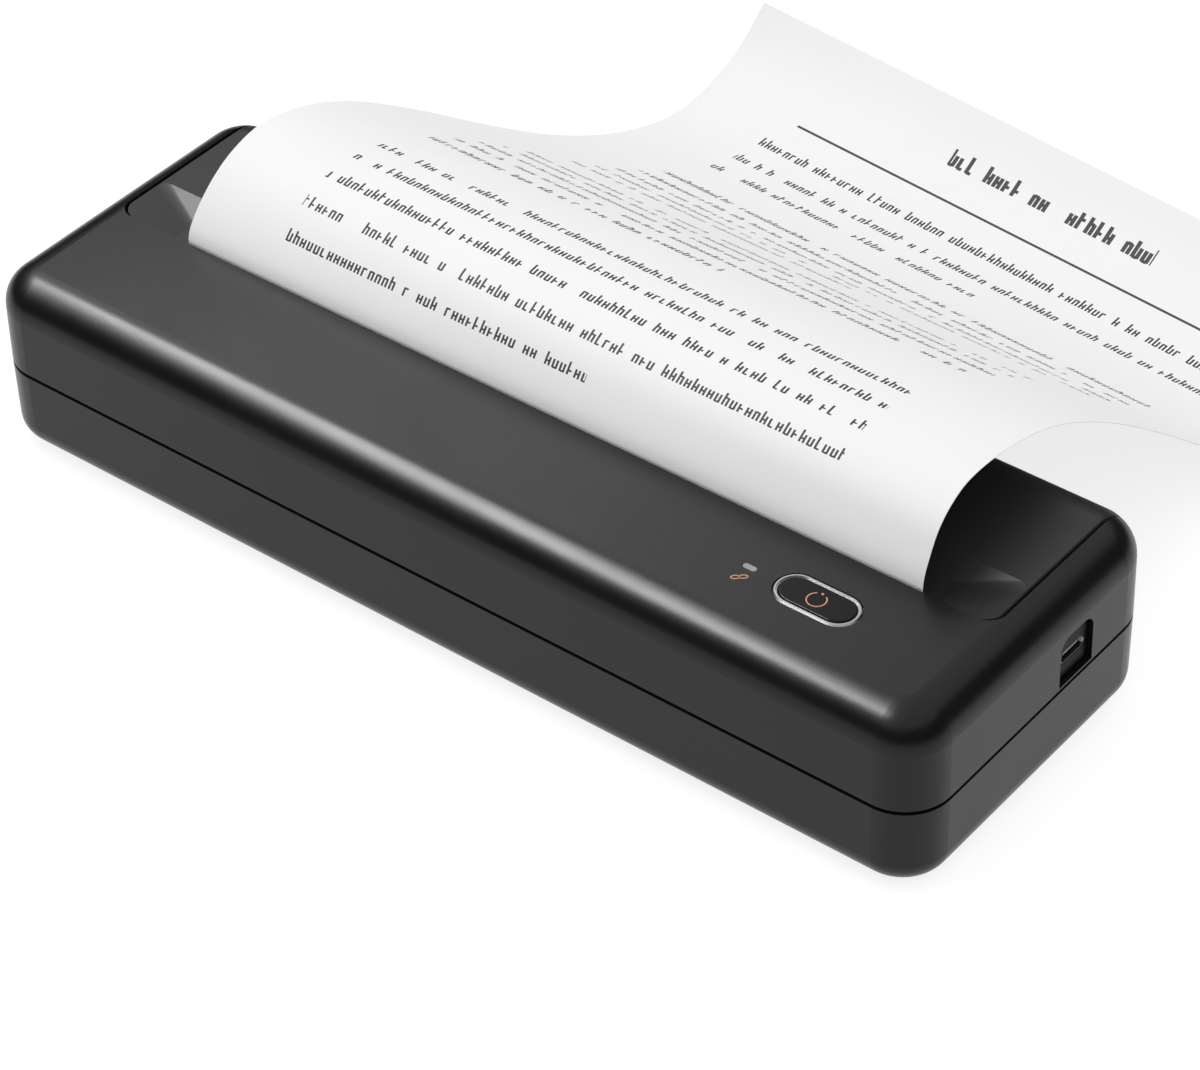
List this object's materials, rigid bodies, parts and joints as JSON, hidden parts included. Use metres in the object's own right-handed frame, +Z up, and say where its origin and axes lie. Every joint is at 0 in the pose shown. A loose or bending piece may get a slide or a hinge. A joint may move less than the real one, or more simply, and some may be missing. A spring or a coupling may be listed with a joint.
{
  "type": "portable thermal printer",
  "caption": "Flat A4 portable thermal printer with a rear-hinged roll cover, a printed sheet leaving the top slot, a power button and an end charging port.",
  "frame": {"origin": "on the table under the middle of the case's plan; the lower shell's underside lies 0.8 mm above it, on rubber feet", "axes": "+X towards the end with the charging port, +Y towards the hinged rear where the paper goes, +Z up"},
  "size_m": [0.267, 0.245, 0.0672],
  "materials": {
    "case_plastic": "satin",
    "black_plastic": "matt",
    "steel": "brushed",
    "motor_steel": "plated",
    "sink_aluminium": "extruded",
    "heater_ceramic": "glazed",
    "gear_plastic": "moulded",
    "pinion_brass": "machined",
    "platen_rubber": "ground",
    "foot_rubber": "matt",
    "paper": "smooth thermal paper",
    "core_board": "card",
    "end_cap_plastic": "moulded",
    "button_black": "polished",
    "ring_silver": "satin",
    "light_lens": "frosted",
    "board_green": "solder mask",
    "switch_black": "matt",
    "ribbon_film": "film",
    "cell_wrap": "shrink sleeve",
    "lead_red": "wire"
  },
  "bodies": {
    "base": {"lower_shell": "case_plastic", "upper_shell": "case_plastic", "hinge_pins": "steel", "rubber_feet": "foot_rubber", "case_screws": "steel", "roll_tray": "black_plastic", "left_bay_deck": "black_plastic", "right_bay_deck": "black_plastic", "left_side_frame": "steel", "right_side_frame": "steel", "frame_screws": "steel", "head_beam": "steel", "head_pivot_shaft": "steel", "head_springs": "steel", "head_ribbon": "ribbon_film", "gear_axles": "steel", "axle_ring": "steel", "drive_motor": "motor_steel", "paper_web": "paper", "paper_sheet": "paper", "paper_guide": "black_plastic", "paper_sensor": "switch_black", "button_ring": "ring_silver", "status_light": "light_lens", "tact_switch": "switch_black", "main_board": "board_green", "board_chips": "black_plastic", "board_connectors": "gear_plastic", "board_screws": "steel", "port_bezel": "black_plastic", "charging_socket": "steel", "port_board": "board_green", "battery_cells": "cell_wrap", "battery_lead": "lead_red", "port_lead": "lead_red", "motor_lead": "lead_red"},
    "head": {"head_heat_sink": "sink_aluminium", "heater_board": "heater_ceramic", "driver_cover": "black_plastic", "head_connector": "gear_plastic"},
    "cover": {"roll_cover": "case_plastic", "platen_carrier": "steel", "carrier_screws": "steel", "platen_bushes": "gear_plastic"},
    "platen": {"platen_shaft": "steel", "platen_rubber": "platen_rubber", "platen_gear": "gear_plastic", "platen_rings": "steel"},
    "idler": {"idler_gear": "gear_plastic"},
    "reduction": {"reduction_gear": "gear_plastic"},
    "rotor": {"motor_shaft": "steel", "motor_pinion": "pinion_brass"},
    "roll": {"paper_roll": "paper", "roll_core": "core_board", "left_end_cap": "end_cap_plastic", "right_end_cap": "end_cap_plastic"},
    "button": {"power_button": "button_black"}
  },
  "joints": [
    {"name": "cover_hinge", "type": "hinge", "parent": "base", "child": "cover", "pos_m": [0, 0.0412, 0.03], "axis": [-1, 0, 0], "range_deg": [0, 90], "deforming": ["paper_web", "paper_sheet"]},
    {"name": "roll_spin", "type": "hinge", "parent": "base", "child": "roll", "pos_m": [0, 0.022, 0.024], "axis": [1, 0, 0], "continuous": true},
    {"name": "platen_spin", "type": "hinge", "parent": "cover", "child": "platen", "pos_m": [0, -0.0006, 0.0365], "axis": [1, 0, 0], "continuous": true},
    {"name": "idler_spin", "type": "hinge", "parent": "base", "child": "idler", "pos_m": [0, -0.00384, 0.02443], "axis": [1, 0, 0], "continuous": true},
    {"name": "reduction_spin", "type": "hinge", "parent": "base", "child": "reduction", "pos_m": [0, -0.01195, 0.01858], "axis": [1, 0, 0], "continuous": true},
    {"name": "motor_spin", "type": "hinge", "parent": "base", "child": "rotor", "pos_m": [0, -0.026, 0.015], "axis": [1, 0, 0], "continuous": true},
    {"name": "head_pivot", "type": "hinge", "parent": "base", "child": "head", "pos_m": [0, -0.0116, 0.024], "axis": [1, 0, 0], "range_deg": [0, 2], "stiffness_Nm_per_rad": 1.2, "deforming": ["head_springs"]},
    {"name": "button_press", "type": "slide", "parent": "base", "child": "button", "axis": [0, 0, -1], "range_m": [0, 0.0005], "stiffness_N_per_m": 500}
  ],
  "couplings": [
    {"joint": "platen_spin", "follows": "roll_spin", "ratio": 2.84},
    {"joint": "idler_spin", "follows": "roll_spin", "ratio": -2.6215},
    {"joint": "reduction_spin", "follows": "roll_spin", "ratio": 4.8686},
    {"joint": "motor_spin", "follows": "roll_spin", "ratio": -15.301}
  ]
}
